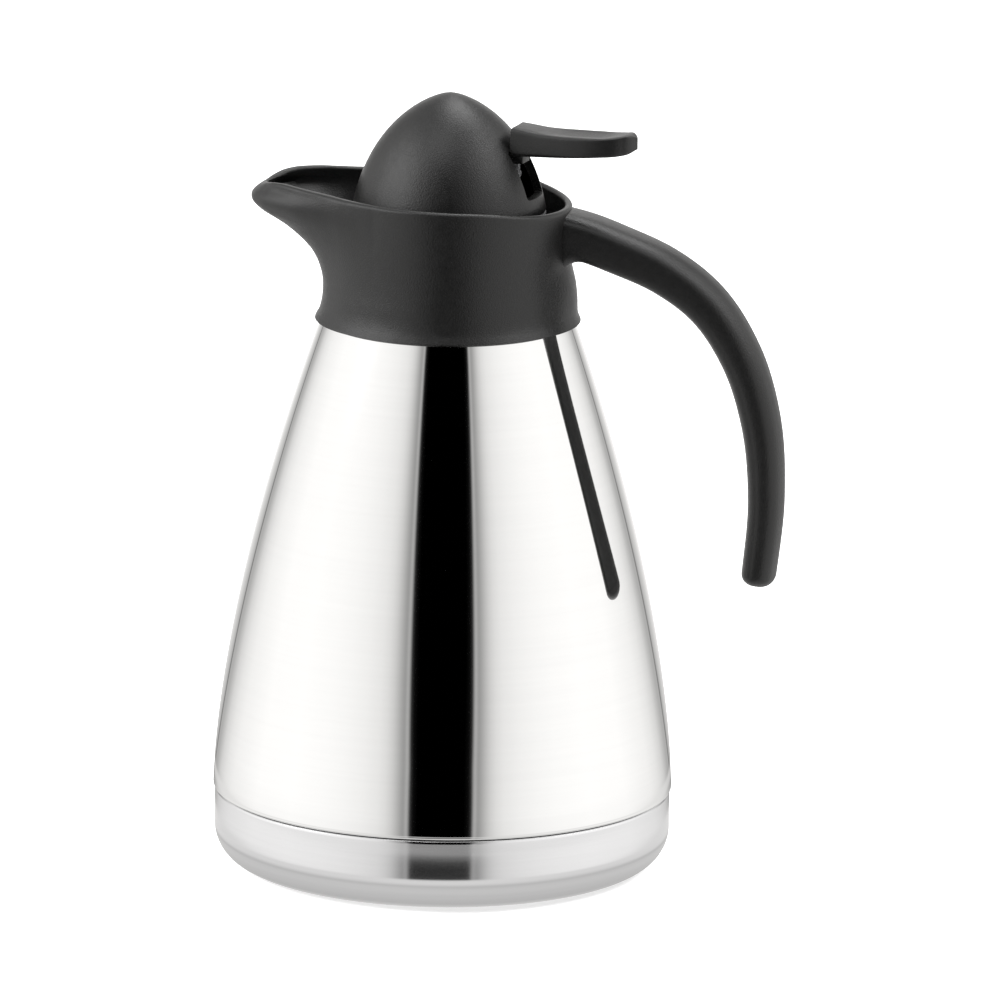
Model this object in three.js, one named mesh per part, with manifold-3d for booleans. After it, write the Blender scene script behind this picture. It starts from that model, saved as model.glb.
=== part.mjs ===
// Vacuum serving jug: a double-walled steel flask with a base cup, a moulded pouring collar
// with its handle, and a screw-in stopper whose thumb lever lifts a valve.
// Millimetres. The origin is the centre of the underside, +Z is up, +X points to the handle
// and -X to the pouring lip. The jug is symmetric about the plane Y = 0.
import * as THREE from "three";
import { mergeVertices } from "three/addons/utils/BufferGeometryUtils.js";
import Module from "manifold-3d";

const wasm = await Module();
wasm.setup();

// ---- Driving dimensions -----------------------------------------------------------------
const CLEAR = 0.3; // air gap between two pieces that touch in the real jug
const FINE = 30; // facets round the large turned pieces
const COLLAR_FACETS = 48; // facets round the collar, crowded into its lip
const COARSE = 24; // facets round the small turned pieces

// Steel flask
const BODY_R = 68.2; // outer radius at the seam above the base cup
const BODY_TAPER = 30.3; // how far the wall has come in after TAPER_RISE of height
const TAPER_RISE = 140;
const TAPER_POWER = 1.6;
const SEAM_Z = 22.7; // seam between the shell and the base cup
const SHELL_WALL = 0.8;
const SHELL_TOP = 174;
const SHELL_STEPS = 7; // straight facets up the tapering wall
const SKIRT_R = 66.2; // recessed lower end of the shell, inside the base cup
const SKIRT_Z = 14;
const JACKET = 7; // outside of the shell to the inside of the liner, at the seam
const JACKET_NECK = 3.2; // the same at the shoulder
const LINER_FLOOR_Z = 24;
const NECK_R = 30.4; // outer radius of the liner's neck
const NECK_FOOT_Z = 162;
const MOUTH_Z = 177;
const BEAD_Z = 160.4; // inward bead that the throat ring snaps under
const BEAD_DEPTH = 1.4;
const DISH_Z = 16; // steel dish that closes the vacuum jacket
const DISH_RISE = 3;

// Base cup
const BASE_R = 67.7;
const BASE_CORNER = 10.8;
const BASE_WALL = 1;

// Collar
const SLEEVE_GAP = 0.45; // shell to the inside of the collar's skirt
const COLLAR_FOOT_Z = 164.2;
const COLLAR_FOOT_R = 39.44;
const COLLAR_R = 36.3;
const COLLAR_WALL = 2.4;
const FLOOR_Z = 179; // underside of the collar's inner floor
const FLOOR_T = 2;
const THROAT_R = 29.3; // hole in the floor
const RIM_Z = 205;
const RIM_FOOT_Z = 186; // above this height the wall follows the sloping rim
const GUSSET = 1.5; // how far the collar swells under the handle
const GUSSET_Z = 174;
const GUSSET_TOP_Z = 183;

// Throat ring and its thread
const RING_R = 28.6;
const RING_BORE = 27;
const RING_FOOT_Z = 155;
const RING_FLANGE_R = 32.4;
const THREAD_LEAD = 24;
const THREAD_STARTS = 4;
const THREAD_DEPTH = 1.1;
const THREAD_WIDTH = 1.7;
const THREAD_ARC = Math.PI * 0.38;
const THREAD_Z = 173;
const THREAD_STEPS = 6;

// Stopper
const PLUG_R = 25.5;
const PLUG_WALL = 2;
const PLUG_FOOT_Z = 152;
const SHOULDER_Z = 184.6; // underside of the shoulder that presses on the gasket
const HEAD_R = 28.5;
const DECK_Z = 195; // underside of the deck between the wet and the dry side
const DECK_T = 2;
const SEAT_R = 11;
const GUIDE_R = 2.4;
const WINDOW_Z = [187, 193.5];
const WINDOW_HALF = 15;
const VENT_HALF = 3;

// Dome
const DOME_FOOT_Z = DECK_Z + DECK_T + CLEAR;
const DOME_TOP_Z = 232;
const DOME_WALL = 2.2;
const SLOT_HALF = 7.35;
const SLOT_Z = [202.6, 221];
const STOPPER_TURN = -10 * (Math.PI / 180); // how far the lever stands short of the handle

// Lever, its bracket and pin
const PIVOT = { x: 16, z: 212.6 };
const PIN_R = 1.5;
const PIN_CLEAR = 0.25;
const EAR_T = 2;
const EAR_INNER = 4.9;
const ARM_HALF = 4.4;
const ARM_TIP_X = -4.6;
const ARM_TOP = 1.9; // height of the arm's top over the pivot
const ARM_TIP_TOP = 0.8;
const LEVER_TIP_X = 57.6;
const LEVER_ROOT_X = 21;
const LEVER_HALF = 7.2;
const PLATE_Z = 207.2; // underside of the bracket's plate
const PLATE_T = 1.6;
const SCREW_X = 16;
const SCREW_Y = 11.4;
const SCREW_R = 1.2;

// Valve
const ROD_R = 2;
const ROD_COLLAR_R = 5.2;
const ROD_COLLAR_Z = 198.2;
const ROD_COLLAR_T = 1.4;
const ROD_FOOT_Z = 155.2;
const ROD_TOP_Z = 218;
const NUT_Z = 214.9;
const NUT_R = 4.4;
const NUT_T = 2.8;
const DISC_R = 14;
const DISC_T = 2.4;
const SEAL_R = 13.4;
const SEAL_T = 1.2;
const SPRING_R = 3.9;
const WIRE_R = 0.4;
const SPRING_TURNS = 4;

// Handle
const HANDLE_ROOT = { width: 20, depth: 13.2 };
const HANDLE_END = { width: 18, depth: 8.8 };
const TONGUE = { half: 3, depth: 1.1, low: 184, high: 195 };

// ---- Geometry helpers -------------------------------------------------------------------

/** Turns a list of [radius, height] pairs about Z. The loop runs up the outside. */
function turned(pairs, segments = FINE) {
  const points = pairs.map(([r, z]) => new THREE.Vector2(r, z));
  return new THREE.LatheGeometry(points, segments).rotateX(Math.PI / 2);
}

/** The same, for a profile that doesn't touch the axis and so has to close on itself. */
function turnedRing(pairs, segments = FINE) {
  return turned([...pairs, pairs[0]], segments);
}

/** A plain ring, or a disc when the inner radius is nought. */
function ring(inner, outer, low, high, segments = COARSE) {
  const loop = [
    [inner, low],
    [outer, low],
    [outer, high],
    [inner, high],
  ];
  return inner > 0 ? turnedRing(loop, segments) : turned(loop, segments);
}

/** A round bar along Y. */
function barY(radius, length, x, z) {
  return new THREE.CylinderGeometry(radius, radius, length, COARSE).translate(x, 0, z);
}

/** A box between two corners. */
function block([x0, y0, z0], [x1, y1, z1]) {
  return new THREE.BoxGeometry(x1 - x0, y1 - y0, z1 - z0).translate(
    (x0 + x1) / 2,
    (y0 + y1) / 2,
    (z0 + z1) / 2,
  );
}

/** Moves every vertex of a geometry with a function of its place. */
function reshaped(geometry, place) {
  const at = geometry.getAttribute("position");
  const point = new THREE.Vector3();
  for (let i = 0; i < at.count; i += 1) {
    point.fromBufferAttribute(at, i);
    place(point);
    at.setXYZ(i, point.x, point.y, point.z);
  }
  return geometry;
}

/** A closed geometry as a solid that can be joined and cut. */
function solid(geometry) {
  const bare = geometry.clone();
  bare.deleteAttribute("normal");
  bare.deleteAttribute("uv");
  const merged = mergeVertices(bare, 1e-4);
  return new wasm.Manifold(
    new wasm.Mesh({
      numProp: 3,
      vertProperties: merged.getAttribute("position").array,
      triVerts: new Uint32Array(merged.index.array),
    }),
  );
}

/** A solid back as a geometry. */
function geometryOf(body) {
  const mesh = body.getMesh();
  const geometry = new THREE.BufferGeometry();
  geometry.setAttribute("position", new THREE.BufferAttribute(mesh.vertProperties, 3));
  geometry.setIndex(new THREE.BufferAttribute(mesh.triVerts, 1));
  geometry.computeVertexNormals();
  return geometry;
}

/** Joins the geometries of one moulding or forging. */
function joined(first, ...others) {
  return others.reduce((body, other) => body.add(solid(other)), solid(first));
}

/** Cuts the tools out of a solid. */
function cut(body, ...tools) {
  return tools.reduce((left, tool) => left.subtract(solid(tool)), body);
}

/** Samples a curve in the plane as [first, second] pairs. */
function sampled(curve, steps) {
  return curve.getPoints(steps).map((p) => [p.x, p.y]);
}

/** A quarter-round between two directions, as pairs. */
function arc(cx, cy, radius, from, to, steps = 5) {
  return Array.from({ length: steps + 1 }, (_, i) => {
    const angle = from + ((to - from) * i) / steps;
    return [cx + radius * Math.cos(angle), cy + radius * Math.sin(angle)];
  });
}

/** Nought below the start, one above the end, smooth between. */
const ramp = (value, start, end) => THREE.MathUtils.smoothstep(value, start, end);

/** Reads the second coordinate of a curve at a value of its first. */
function tableOf(pairs) {
  const curve = new THREE.SplineCurve(pairs.map(([a, b]) => new THREE.Vector2(a, b)));
  const points = curve.getPoints(pairs.length * 12);
  return (value) => {
    const next = points.findIndex((p) => p.x >= value);
    if (next === 0) return points[0].y;
    if (next < 0) return points[points.length - 1].y;
    const [low, high] = [points[next - 1], points[next]];
    return THREE.MathUtils.lerp(low.y, high.y, (value - low.x) / (high.x - low.x || 1));
  };
}

// ---- Shapes that several pieces share ---------------------------------------------------

/** Outer radius of the steel shell at a height. */
function shellRadius(z) {
  return BODY_R - BODY_TAPER * Math.pow((z - SEAM_Z) / TAPER_RISE, TAPER_POWER);
}

/** Inner radius of the liner's belly at a height. */
function linerRadius(z) {
  const share = (z - SEAM_Z) / (NECK_FOOT_Z - SEAM_Z);
  return shellRadius(Math.max(z, SEAM_Z)) - THREE.MathUtils.lerp(JACKET, JACKET_NECK, share);
}

/** Evenly spaced heights from low to high. */
function heights(low, high, steps) {
  return Array.from({ length: steps + 1 }, (_, i) => low + ((high - low) * i) / steps);
}

/** Height of the collar's rim by the degrees from the lip. */
const rimHeight = tableOf([
  [0, 203.4],
  [16, 205.3],
  [30, 204.6],
  [60, 203.4],
  [120, 202.6],
  [150, 201],
  [180, 199.4],
]);

/** How far the lip reaches forward of the round collar at a height. */
const lipReach = tableOf([
  [177, 0],
  [182.9, 1.6],
  [187.6, 5.9],
  [192.4, 12.6],
  [195.7, 19.2],
  [198.6, 22.5],
  [200.5, 22.3],
  [203.5, 19],
]);

/** Share of the lip's reach that is left by the degrees from its tip. */
const lipShare = tableOf([
  [0, 1],
  [6, 0.95],
  [12, 0.85],
  [20, 0.645],
  [30, 0.371],
  [36, 0.232],
  [42, 0.145],
  [50, 0.058],
  [60, 0],
]);

/** A thread start: a rib from its root radius to its tip that climbs THREAD_LEAD for each turn. */
function threadRib(root, tip, z, startAngle) {
  const box = new THREE.BoxGeometry(1, 1, 1, THREAD_STEPS, 1, 1);
  const [low, high] = [Math.min(root, tip), Math.max(root, tip)];
  return reshaped(box, (p) => {
    const along = p.x + 0.5;
    const angle = startAngle + THREAD_ARC * along;
    const radius = p.y > 0 ? high : low;
    const rise = (THREAD_LEAD * THREAD_ARC * along) / (2 * Math.PI);
    const width = THREAD_WIDTH * (radius === tip ? 0.6 : 1);
    p.set(-radius * Math.cos(angle), radius * Math.sin(angle), z - rise + p.z * width);
  });
}

/** All the starts of one thread. */
function threadRibs(root, tip, z) {
  const pitch = (2 * Math.PI) / THREAD_STARTS;
  return Array.from({ length: THREAD_STARTS }, (_, i) => threadRib(root, tip, z, i * pitch));
}

// ---- Steel flask ------------------------------------------------------------------------

function outerShell() {
  const outer = heights(SEAM_Z, SHELL_TOP, SHELL_STEPS).map((z) => [shellRadius(z), z]);
  const inner = heights(SEAM_Z + 1, SHELL_TOP, SHELL_STEPS)
    .reverse()
    .map((z) => [shellRadius(z) - SHELL_WALL, z]);
  const seamIn = SKIRT_R - SHELL_WALL;
  return turnedRing([
    [seamIn, SKIRT_Z],
    [SKIRT_R, SKIRT_Z],
    [SKIRT_R, SEAM_Z],
    ...outer,
    [NECK_R + 1.4, MOUTH_Z],
    [NECK_R + CLEAR, MOUTH_Z],
    [NECK_R + CLEAR, MOUTH_Z - SHELL_WALL],
    ...inner,
    [seamIn, SEAM_Z + 0.9],
  ]);
}

function innerFlask() {
  const corner = 14;
  const floorR = linerRadius(LINER_FLOOR_Z) - corner;
  const bellyLow = LINER_FLOOR_Z + corner;
  const wall = SHELL_WALL;
  const outerCorner = arc(floorR, bellyLow, corner + wall, -Math.PI / 2, 0, 3);
  const innerCorner = arc(floorR, bellyLow, corner, 0, -Math.PI / 2, 3);
  const belly = heights(bellyLow + 8, NECK_FOOT_Z - 12, 5).map((z) => [linerRadius(z), z]);
  const neckIn = NECK_R - wall;
  const beadIn = neckIn - BEAD_DEPTH;
  return turned([
    [0, LINER_FLOOR_Z - wall],
    ...outerCorner,
    ...belly.map(([r, z]) => [r + wall, z]),
    [NECK_R + 2, NECK_FOOT_Z - 5],
    [NECK_R, NECK_FOOT_Z - 1],
    [NECK_R, MOUTH_Z],
    [neckIn, MOUTH_Z],
    [neckIn, BEAD_Z + 2.6],
    [beadIn, BEAD_Z + 1.8],
    [beadIn, BEAD_Z + 0.6],
    [neckIn + 0.4, BEAD_Z - 1.6],
    [NECK_R + 1, NECK_FOOT_Z - 6],
    ...belly.slice().reverse(),
    ...innerCorner,
    [0, LINER_FLOOR_Z],
  ]);
}

function shellDish() {
  const edge = SKIRT_R - SHELL_WALL - CLEAR;
  const flat = edge - 10;
  const loop = [
    [0, DISH_Z + DISH_RISE - SHELL_WALL],
    [flat, DISH_Z + DISH_RISE - SHELL_WALL],
    [edge - 3, DISH_Z - SHELL_WALL],
    [edge, DISH_Z - SHELL_WALL],
    [edge, DISH_Z + 3],
    [edge - SHELL_WALL, DISH_Z + 3],
    [edge - SHELL_WALL, DISH_Z],
    [edge - 3, DISH_Z],
    [flat, DISH_Z + DISH_RISE],
    [0, DISH_Z + DISH_RISE],
  ];
  return turned(loop);
}

/** Copper foil wrapped round the liner inside the vacuum, a heat mirror. */
function radiationFoil() {
  const [low, high] = [44, 144];
  const gap = SHELL_WALL + 0.9;
  const thickness = 0.4;
  const line = heights(low, high, 3).map((z) => [linerRadius(z) + gap, z]);
  const outer = line.map(([r, z]) => [r + thickness, z]);
  return turnedRing([...outer, ...line.reverse()]);
}

const getter = () => ring(0, 9, DISH_Z + DISH_RISE + CLEAR, DISH_Z + DISH_RISE + 2.3);

/** Bead of solder glass that seals the hole the air is drawn out through. */
function evacuationSeal() {
  const top = DISH_Z + DISH_RISE - SHELL_WALL - CLEAR;
  return turned(
    [
      [0, top - 1.8],
      [2.2, top - 1.6],
      [3.6, top - 0.8],
      [3.9, top],
      [0, top],
    ],
    16,
  );
}

function baseCup() {
  const corner = arc(BASE_R - BASE_CORNER, BASE_CORNER, BASE_CORNER, -Math.PI / 2, 0, 6);
  const inner = arc(
    BASE_R - BASE_CORNER,
    BASE_CORNER,
    BASE_CORNER - BASE_WALL,
    0,
    -Math.PI / 2,
    5,
  );
  const top = SEAM_Z - CLEAR;
  return turned([[0, 0], ...corner, [BASE_R, top], [BASE_R - BASE_WALL, top], ...inner, [0, BASE_WALL]]);
}

// ---- Collar and throat ------------------------------------------------------------------

function collarLoop() {
  const skirt = heights(COLLAR_FOOT_Z + 0.6, SHELL_TOP - 0.5, 2)
    .reverse()
    .map((z) => [shellRadius(z) + SLEEVE_GAP, z]);
  const innerR = COLLAR_R - COLLAR_WALL;
  const floorTop = FLOOR_Z + FLOOR_T;
  const rimR = COLLAR_WALL / 2;
  return [
    [COLLAR_FOOT_R - 0.5, COLLAR_FOOT_Z],
    [COLLAR_FOOT_R, COLLAR_FOOT_Z + 0.6],
    [COLLAR_FOOT_R - 0.4, COLLAR_FOOT_Z + 1.4],
    [COLLAR_FOOT_R - 1.6, COLLAR_FOOT_Z + 3.4],
    [COLLAR_R + 0.6, COLLAR_FOOT_Z + 6.4],
    [COLLAR_R + 0.1, COLLAR_FOOT_Z + 9.6],
    ...heights(COLLAR_FOOT_Z + 13, RIM_Z - rimR, 6).map((z) => [COLLAR_R, z]),
    ...arc(COLLAR_R - rimR, RIM_Z - rimR, rimR, Math.PI / 5, Math.PI * 0.8, 3),
    ...heights(floorTop + 2, RIM_Z - rimR, 4)
      .reverse()
      .map((z) => [innerR, z]),
    [innerR - 1.4, floorTop],
    [THROAT_R, floorTop],
    [THROAT_R, FLOOR_Z],
    [NECK_R + 2.4, FLOOR_Z],
    ...skirt,
    [shellRadius(COLLAR_FOOT_Z) + SLEEVE_GAP, COLLAR_FOOT_Z],
  ];
}

/** Pulls a round collar into its pouring lip, its sloping rim and the swell under the handle. */
function collarPlace(p) {
  const radius = Math.hypot(p.x, p.y);
  const even = Math.atan2(p.y, -p.x); // nought at the lip
  const angle = even - 0.55 * Math.sin(even); // crowds the facets into the lip
  const inside = radius < COLLAR_R - COLLAR_WALL / 2;
  const degrees = THREE.MathUtils.radToDeg(Math.abs(angle));
  const lip = lipShare(degrees);
  const droop = RIM_Z - rimHeight(degrees);
  const z = p.z - droop * ramp(p.z, RIM_FOOT_Z, RIM_Z);
  const wet = p.z > FLOOR_Z + FLOOR_T - 0.1;
  let reach = lipReach(z) * lip;
  if (inside) reach = wet ? Math.min(reach, lipReach(z - 3) * lip) : 0;
  const behind = ramp(Math.abs(angle), Math.PI * 0.84, Math.PI * 0.97);
  const swell = ramp(p.z, COLLAR_FOOT_Z, GUSSET_Z) * (1 - ramp(p.z, GUSSET_Z, GUSSET_TOP_Z));
  const gusset = inside ? 0 : GUSSET * behind * swell;
  const out = radius + reach + gusset;
  p.set(-out * Math.cos(angle), out * Math.sin(angle), z);
}

function collar() {
  const shell = solid(reshaped(turnedRing(collarLoop(), COLLAR_FACETS), collarPlace));
  const groove = block(
    [COLLAR_R - TONGUE.depth - CLEAR, -TONGUE.half - CLEAR, TONGUE.low - CLEAR],
    [COLLAR_R + 4, TONGUE.half + CLEAR, TONGUE.high + CLEAR],
  );
  return geometryOf(cut(shell, groove));
}

function throatRing() {
  const lipR = RING_R + 0.6;
  const flangeZ = FLOOR_Z + FLOOR_T + CLEAR;
  const tube = turnedRing(
    [
      [RING_BORE, RING_FOOT_Z],
      [lipR - 0.8, RING_FOOT_Z],
      [lipR, BEAD_Z - 2.6],
      [RING_R - 0.9, BEAD_Z - 0.6],
      [RING_R - 1, BEAD_Z + 3],
      [RING_R, BEAD_Z + 4],
      [RING_R, flangeZ],
      [RING_FLANGE_R, flangeZ],
      [RING_FLANGE_R, flangeZ + 0.8],
      [RING_FLANGE_R - 0.8, flangeZ + 1.4],
      [RING_BORE, flangeZ + 1.4],
    ],
    FINE,
  );
  const ribs = threadRibs(RING_BORE + 0.7, RING_BORE - THREAD_DEPTH, THREAD_Z + THREAD_WIDTH + 0.5);
  return geometryOf(joined(tube, ...ribs));
}

const neckSeal = () => ring(RING_R + 0.4, NECK_R + 1.4, MOUTH_Z + CLEAR, FLOOR_Z - CLEAR, 40);

// ---- Handle -----------------------------------------------------------------------------

/** The middle of the handle in the plane Y = 0, from the collar to the free end. */
const handleLine = new THREE.CatmullRomCurve3(
  [
    [30, 192.6],
    [40.4, 190.1],
    [51, 186.3],
    [63.5, 180.6],
    [76.2, 171],
    [86.6, 155.9],
    [92.6, 137.1],
    [94.7, 114],
    [92.8, 87.6],
  ].map(([x, z]) => new THREE.Vector3(x, 0, z)),
  false,
  "centripetal",
);

function handle() {
  const around = 18;
  const along = 28;
  const capFrom = 0.78; // share of the steps that the straight-sided part takes
  const roundFrom = 0.966; // share of the length where the rounded end starts
  const rod = new THREE.CylinderGeometry(1, 1, 1, around, along);
  const bar = reshaped(rod, (p) => {
    const step = p.y + 0.5;
    const late = (Math.max(0, step - capFrom) / (1 - capFrom)) * (Math.PI / 2);
    const share = Math.min(step / capFrom, 1) * roundFrom + Math.sin(late) * (1 - roundFrom);
    const middle = handleLine.getPointAt(share);
    const way = handleLine.getTangentAt(share);
    const end = Math.max(0.2, Math.cos(late));
    const radius = Math.hypot(p.x, p.z);
    const angle = Math.atan2(p.z, p.x);
    const square = 0.8; // below one, the oval fills out towards its corners
    const oval = (v) => Math.sign(v) * Math.pow(Math.abs(v), square);
    const width = THREE.MathUtils.lerp(HANDLE_ROOT.width, HANDLE_END.width, share);
    const depth = THREE.MathUtils.lerp(HANDLE_ROOT.depth, HANDLE_END.depth, Math.pow(share, 0.9));
    const side = (oval(Math.sin(angle)) * radius * width * end) / 2;
    const outward = (oval(Math.cos(angle)) * radius * depth * end) / 2;
    p.set(middle.x - way.z * outward, side, middle.z + way.x * outward);
  });
  const tongue = block(
    [COLLAR_R - TONGUE.depth, -TONGUE.half, TONGUE.low],
    [COLLAR_R + 6, TONGUE.half, TONGUE.high],
  );
  const collarFace = turned(
    [
      [0, COLLAR_FOOT_Z],
      [COLLAR_R + GUSSET + CLEAR, COLLAR_FOOT_Z],
      [COLLAR_R + GUSSET + CLEAR, GUSSET_Z],
      [COLLAR_R + CLEAR, GUSSET_TOP_Z],
      [COLLAR_R + CLEAR, RIM_Z + 10],
      [0, RIM_Z + 10],
    ],
    64,
  );
  const fillet = solid(filletUnderHandle());
  const arm = cut(solid(bar).add(fillet), collarFace);
  return geometryOf(arm.add(solid(tongue)));
}

/** The web that carries the handle's underside down on to the back of the collar. */
function filletUnderHandle() {
  const wall = COLLAR_R - 0.5;
  const outline = new THREE.Shape();
  outline.moveTo(wall, 188);
  outline.lineTo(wall, 176.6);
  outline.lineTo(COLLAR_R + 1.4, 176.6);
  outline.bezierCurveTo(COLLAR_R + 1.6, 181.4, COLLAR_R + 4.2, 183.6, 48, 183.4);
  outline.lineTo(48, 188);
  outline.closePath();
  return across(outline, 15, 6);
}

// ---- Stopper ----------------------------------------------------------------------------

function stopperBody() {
  const inner = PLUG_R - PLUG_WALL;
  const headIn = HEAD_R - PLUG_WALL;
  const shell = turnedRing(
    [
      [SEAT_R, PLUG_FOOT_Z],
      [PLUG_R - 1, PLUG_FOOT_Z],
      [PLUG_R, PLUG_FOOT_Z + 1],
      [PLUG_R, SHOULDER_Z],
      [HEAD_R, SHOULDER_Z],
      [HEAD_R, DECK_Z + DECK_T],
      [GUIDE_R, DECK_Z + DECK_T],
      [GUIDE_R, DECK_Z],
      [headIn, DECK_Z],
      [headIn, SHOULDER_Z + 2.2],
      [inner, SHOULDER_Z + 1.4],
      [inner, PLUG_FOOT_Z + PLUG_WALL],
      [SEAT_R, PLUG_FOOT_Z + PLUG_WALL],
    ],
    FINE,
  );
  const [low, high] = WINDOW_Z;
  const pourWindow = block([-HEAD_R - 5, -WINDOW_HALF, low], [-HEAD_R / 2, WINDOW_HALF, high]);
  const vent = block([HEAD_R / 2, -VENT_HALF, low], [HEAD_R + 5, VENT_HALF, high - 2]);
  const screwHoles = [-1, 1].map((side) =>
    ring(0, SCREW_R + CLEAR, DECK_Z - 1, DECK_Z + DECK_T + 1, 12).translate(SCREW_X, side * SCREW_Y, 0),
  );
  const ribs = threadRibs(PLUG_R - 0.8, PLUG_R + THREAD_DEPTH, THREAD_Z);
  const openings = [pourWindow, vent, ...screwHoles].map((tool) => tool.rotateZ(STOPPER_TURN));
  return geometryOf(cut(joined(shell, ...ribs), ...openings));
}

function stopperGasket() {
  const low = FLOOR_Z + FLOOR_T + 1.4 + 2 * CLEAR;
  return turnedRing(
    [
      [PLUG_R + CLEAR, low],
      [HEAD_R + 0.6, low],
      [HEAD_R + 1, (low + SHOULDER_Z) / 2],
      [HEAD_R + 0.4, SHOULDER_Z - CLEAR],
      [PLUG_R + CLEAR, SHOULDER_Z - CLEAR],
    ],
    40,
  );
}

function dome() {
  const crown = new THREE.CubicBezierCurve(
    new THREE.Vector2(HEAD_R, DOME_FOOT_Z + 0.8),
    new THREE.Vector2(23.7, 224.9),
    new THREE.Vector2(3.4, DOME_TOP_Z),
    new THREE.Vector2(0, DOME_TOP_Z),
  );
  const inner = new THREE.CubicBezierCurve(
    new THREE.Vector2(0, DOME_TOP_Z - DOME_WALL),
    new THREE.Vector2(4, DOME_TOP_Z - DOME_WALL),
    new THREE.Vector2(21.2, 222.5),
    new THREE.Vector2(HEAD_R - DOME_WALL, DOME_FOOT_Z),
  );
  const shell = turned([...sampled(inner, 9), [HEAD_R, DOME_FOOT_Z], ...sampled(crown, 13)]);
  const slot = block([LEVER_ROOT_X / 2, -SLOT_HALF, SLOT_Z[0]], [HEAD_R + 10, SLOT_HALF, SLOT_Z[1]]);
  return geometryOf(cut(solid(shell), slot));
}

function leverBracket() {
  const foot = DECK_Z + DECK_T + CLEAR;
  const plate = block([-9, -EAR_INNER - EAR_T, PLATE_Z], [20, EAR_INNER + EAR_T, PLATE_Z + PLATE_T]);
  const pieces = [-1, 1].flatMap((side) => {
    const inner = side * EAR_INNER;
    const outer = side * (EAR_INNER + EAR_T);
    const [y0, y1] = [Math.min(inner, outer), Math.max(inner, outer)];
    const toe = side * (SCREW_Y + 3);
    return [
      block([12.4, y0, foot], [19.6, y1, PIVOT.z + 3]),
      block([-9, y0, foot], [-5, y1, PLATE_Z + PLATE_T]),
      block([12.4, Math.min(inner, toe), foot], [19.6, Math.max(inner, toe), foot + 1.4]),
    ];
  });
  const holes = [-1, 1].map((side) =>
    ring(0, SCREW_R + CLEAR, foot - 1, foot + 3, 12).translate(SCREW_X, side * SCREW_Y, 0),
  );
  const rodHole = ring(0, GUIDE_R, PLATE_Z - 1, PLATE_Z + PLATE_T + 1, 16);
  const pinHole = barY(PIN_R + PIN_CLEAR, 40, PIVOT.x, PIVOT.z);
  return geometryOf(cut(joined(plate, ...pieces), rodHole, pinHole, ...holes));
}

function bracketScrew(side) {
  const seat = DECK_Z + DECK_T + 1.4 + 2 * CLEAR;
  return turned(
    [
      [0, DECK_Z - 3],
      [SCREW_R, DECK_Z - 2.4],
      [SCREW_R, seat],
      [2.4, seat],
      [2.1, seat + 1.2],
      [0, seat + 1.5],
    ],
    16,
  ).translate(SCREW_X, side * SCREW_Y, 0);
}

// ---- Lever ------------------------------------------------------------------------------

/** Side outline of the thumb pad, from its root at the dome to its rounded tip. */
function padOutline() {
  const outline = new THREE.Shape();
  outline.moveTo(LEVER_ROOT_X, 215.2);
  outline.lineTo(53, 217.4);
  outline.bezierCurveTo(56, 217.8, LEVER_TIP_X, 218.6, LEVER_TIP_X, 220.4);
  outline.bezierCurveTo(LEVER_TIP_X, 222, 56.4, 222.9, 54, 222.7);
  outline.bezierCurveTo(42, 221, 32, 220.6, LEVER_ROOT_X, 223.1);
  outline.closePath();
  return outline;
}

/** Side outline of the arm, whose top falls away towards its forked tip. */
function armOutline() {
  const outline = new THREE.Shape();
  outline.moveTo(PIVOT.x, PIVOT.z - 2);
  outline.lineTo(ARM_TIP_X, PIVOT.z - 2);
  outline.lineTo(ARM_TIP_X, PIVOT.z + ARM_TIP_TOP);
  outline.lineTo(0.5, PIVOT.z + ARM_TOP);
  outline.lineTo(PIVOT.x, PIVOT.z + ARM_TOP);
  outline.closePath();
  return outline;
}

/** A side outline made as thick as the given width, centred on the plane Y = 0. */
const across = (outline, width, curveSegments) =>
  new THREE.ExtrudeGeometry(outline, { depth: width, bevelEnabled: false, curveSegments })
    .translate(0, 0, -width / 2)
    .rotateX(Math.PI / 2);

function lever() {
  const pad = across(padOutline(), 2 * LEVER_HALF, 5);
  const plan = new THREE.Shape();
  plan.moveTo(LEVER_ROOT_X - 1, -6.3);
  plan.quadraticCurveTo(40, -LEVER_HALF - 0.6, 49, -6.9);
  plan.bezierCurveTo(55, -6.3, LEVER_TIP_X, -3.6, LEVER_TIP_X, 0);
  plan.bezierCurveTo(LEVER_TIP_X, 3.6, 55, 6.3, 49, 6.9);
  plan.quadraticCurveTo(40, LEVER_HALF + 0.6, LEVER_ROOT_X - 1, 6.3);
  plan.quadraticCurveTo(LEVER_ROOT_X + 1.2, 0, LEVER_ROOT_X - 1, -6.3);
  const planBlock = new THREE.ExtrudeGeometry(plan, { depth: 20, bevelEnabled: false, curveSegments: 6 })
    .translate(0, 0, 210);
  const top = solid(pad).intersect(solid(planBlock));
  const neck = block([PIVOT.x, -ARM_HALF, 214.8], [LEVER_ROOT_X + 5, ARM_HALF, 218.6]);
  const hub = barY(3.2, 2 * ARM_HALF, PIVOT.x, PIVOT.z);
  const arm = across(armOutline(), 2 * ARM_HALF, 1);
  const web = block([PIVOT.x - 2, -ARM_HALF, PIVOT.z], [LEVER_ROOT_X - 1, ARM_HALF, 217]);
  const pinHole = barY(PIN_R + PIN_CLEAR, 40, PIVOT.x, PIVOT.z);
  const forkSlot = block([-6, -ROD_R - 0.7, PIVOT.z - 4], [ROD_R + 1, ROD_R + 0.7, PIVOT.z + 4]);
  return geometryOf(cut(joined(neck, hub, arm, web).add(top), pinHole, forkSlot));
}

const leverPin = () => barY(PIN_R, 2 * (EAR_INNER + EAR_T) + 0.6, PIVOT.x, PIVOT.z);

// ---- Valve ------------------------------------------------------------------------------

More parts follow.
